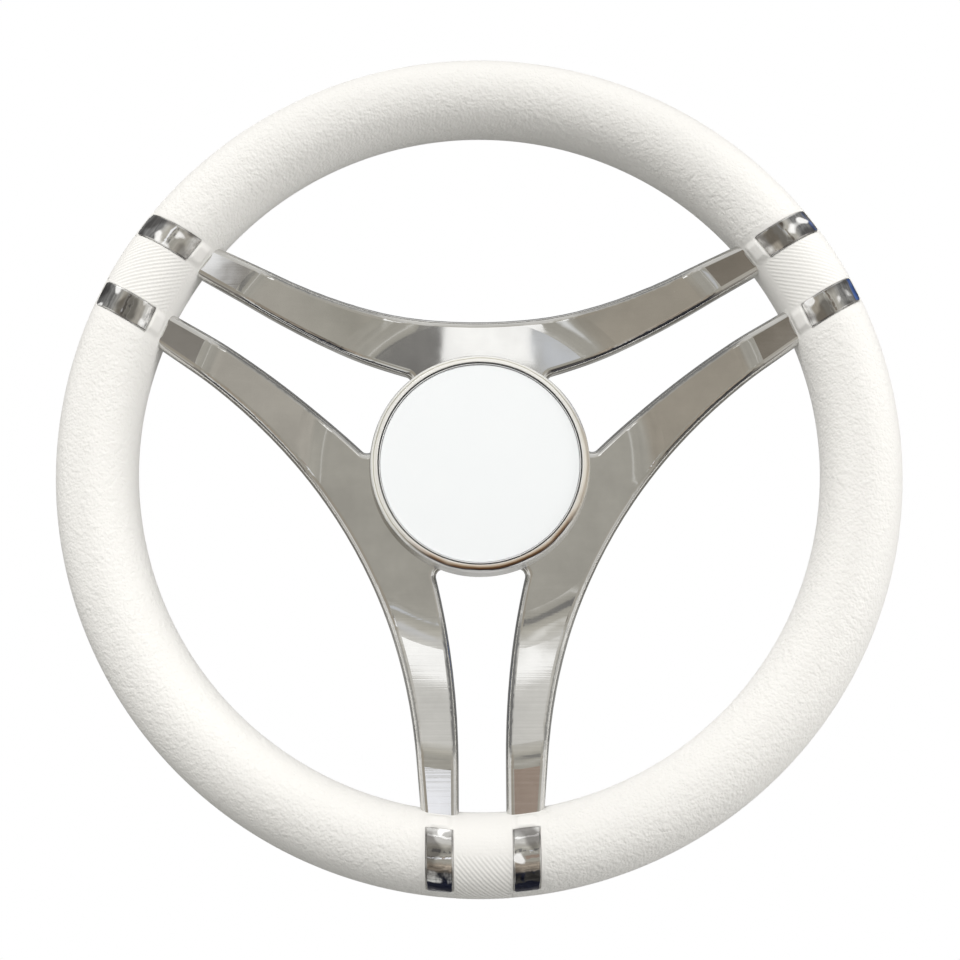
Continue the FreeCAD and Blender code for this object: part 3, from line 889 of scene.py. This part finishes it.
def ribShare(point):                  # 1 on the ribbed panels and 0 beside them
    full, end = grip["ribEdge"]
    edge = 1 - easeStep(abs(besideGap(point)), pocketNear - full, pocketNear - end)
    angle = tubeAngle(point) % 360
    if angle > 270:
        angle -= 360
    low, high = grip["ribEnds"][nearestGap(point)[0]]
    fade = grip["ribFade"]
    smooth = easeStep(angle, low - fade, low) * (1 - easeStep(angle, high, high + fade))
    return edge * (1 - smooth)


def raiseRibs(bm):
    slant = math.radians(grip["ribSlant"])
    for vert in bm.verts:
        if abs(besideGap(vert.co)) > pocketNear:
            continue
        hand = -1 if nearestGap(vert.co)[0] == wheel["gapAngles"][0] else 1
        along = besideGap(vert.co) * math.sin(slant)
        across = math.radians(tubeAngle(vert.co)) * wheel["tubeRadius"] * math.cos(slant)
        wave = math.cos((along + hand * across) / grip["ribPitch"] * math.tau)
        vert.co += tubeNormal(vert.co) * (ribShare(vert.co) * wave * grip["ribHeight"] / 2)


def markGrain(bm):                    # how much leather grain each place shows
    layer = bm.verts.layers.float.new("grain")
    tabEdge = grip["tabGrainEdge"]
    tabTail = grip["tabEnd"] + grip["tabGrainTail"]
    for vert in bm.verts:
        across = abs(besideGap(vert.co))
        angle = tubeAngle(vert.co)
        grain = easeStep(across, pocketNear - tabEdge, pocketNear)
        onTab = across < pocketFar + tabEdge and wheel["bandOuter"] < angle < tabTail
        vert[layer] = grip["tabGrain"] if onTab else grain


def buildGrip():
    bm = bmesh.new()
    gripSection(bm)
    bmesh.ops.spin(bm, geom=bm.verts[:] + bm.edges[:], cent=(0, 0, 0), axis=(0, 1, 0),
                   angle=math.tau, steps=grip["rimSteps"], use_merge=True)
    slideColumns(bm)
    bmesh.ops.recalc_face_normals(bm, faces=bm.faces)
    sinkPockets(bm)
    roundEdges(bm, pocketCorners(bm), grip["pocketCorner"], grip["cornerSteps"])
    roundEdges(bm, pocketRims(bm), grip["pocketRound"], grip["roundSteps"])
    bmesh.ops.remove_doubles(bm, verts=bm.verts, dist=grip["merge"])
    bmesh.ops.dissolve_degenerate(bm, dist=grip["merge"], edges=bm.edges)
    tabRows = (pocketInner + grip["tabCutFrom"], grip["tabEnd"])
    refine(bm, (pocketNear, pocketFar), tabRows, *grip["tabCuts"])
    raiseTabs(bm)
    for rows in grip["ribRows"]:
        refine(bm, (-1, pocketNear), rows, *grip["ribCuts"])
    markGrain(bm)
    raiseRibs(bm)
    print("grip:", sum(len(face.verts) - 2 for face in bm.faces), "triangles")
    return finishMesh(bm, "gripSkin")


foam = {
    "roughness": 0.55,
    "pebbles": {"Scale": 900.0, "Smoothness": 0.6},
    "creaseScale": 560.0,
    "foldScale": 210.0,
    "shares": (0.6, 0.8, 2.6),        # of pebbles, creases and folds in the relief
    "relief": 0.00030,
    "toneScale": 14.0,
    "dark": rgb(0.885, 0.875, 0.85),
    "light": rgb(0.915, 0.905, 0.885),
    "handledSpan": (0.09, 0.155),     # heights over and under the axis between which the painted shade comes in
    "handled": 0.09,                  # painted shade: darker at the top and bottom
}


def gripPaint():
    material, tree, shader = newMaterial("gripFoam", {"Roughness": foam["roughness"]})
    point = tree.add("TexCoord")["Object"]
    pebbles = tree.add("TexVoronoi", {"feature": "SMOOTH_F1"}, {"Vector": point, **foam["pebbles"]})
    creases = tree.cloud(point, foam["creaseScale"], 3.0, 0.6)
    folds = tree.maths("ABSOLUTE", tree.cloud(point, foam["foldScale"], 3.0, 0.55) - 0.5)
    pebbleShare, creaseShare, foldShare = foam["shares"]
    relief = pebbles["Distance"] * pebbleShare + creases * creaseShare + folds * foldShare
    relief = relief * tree.attribute("grain")
    tone = tree.cloud(point, foam["toneScale"], 2.0, 0.5)
    colour = tree.blend(tone, foam["dark"], foam["light"])
    # painted shade: the grip's colour darkens towards its top and bottom
    height = tree.maths("ABSOLUTE", tree.add("SeparateXYZ", {}, {"Vector": point})["Z"])
    handled = 1 - tree.ease(height, *foam["handledSpan"]) * foam["handled"]
    tree.feed(shader.inputs["Base Color"], tree.scale(colour, handled))
    tree.feed(shader.inputs["Normal"], tree.bump(relief, foam["relief"]))
    return material


gripSkin = buildGrip()
gripSkin.data.materials.append(gripPaint())
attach(gripSkin, "wheel")
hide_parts("grip")
print("grip finished")
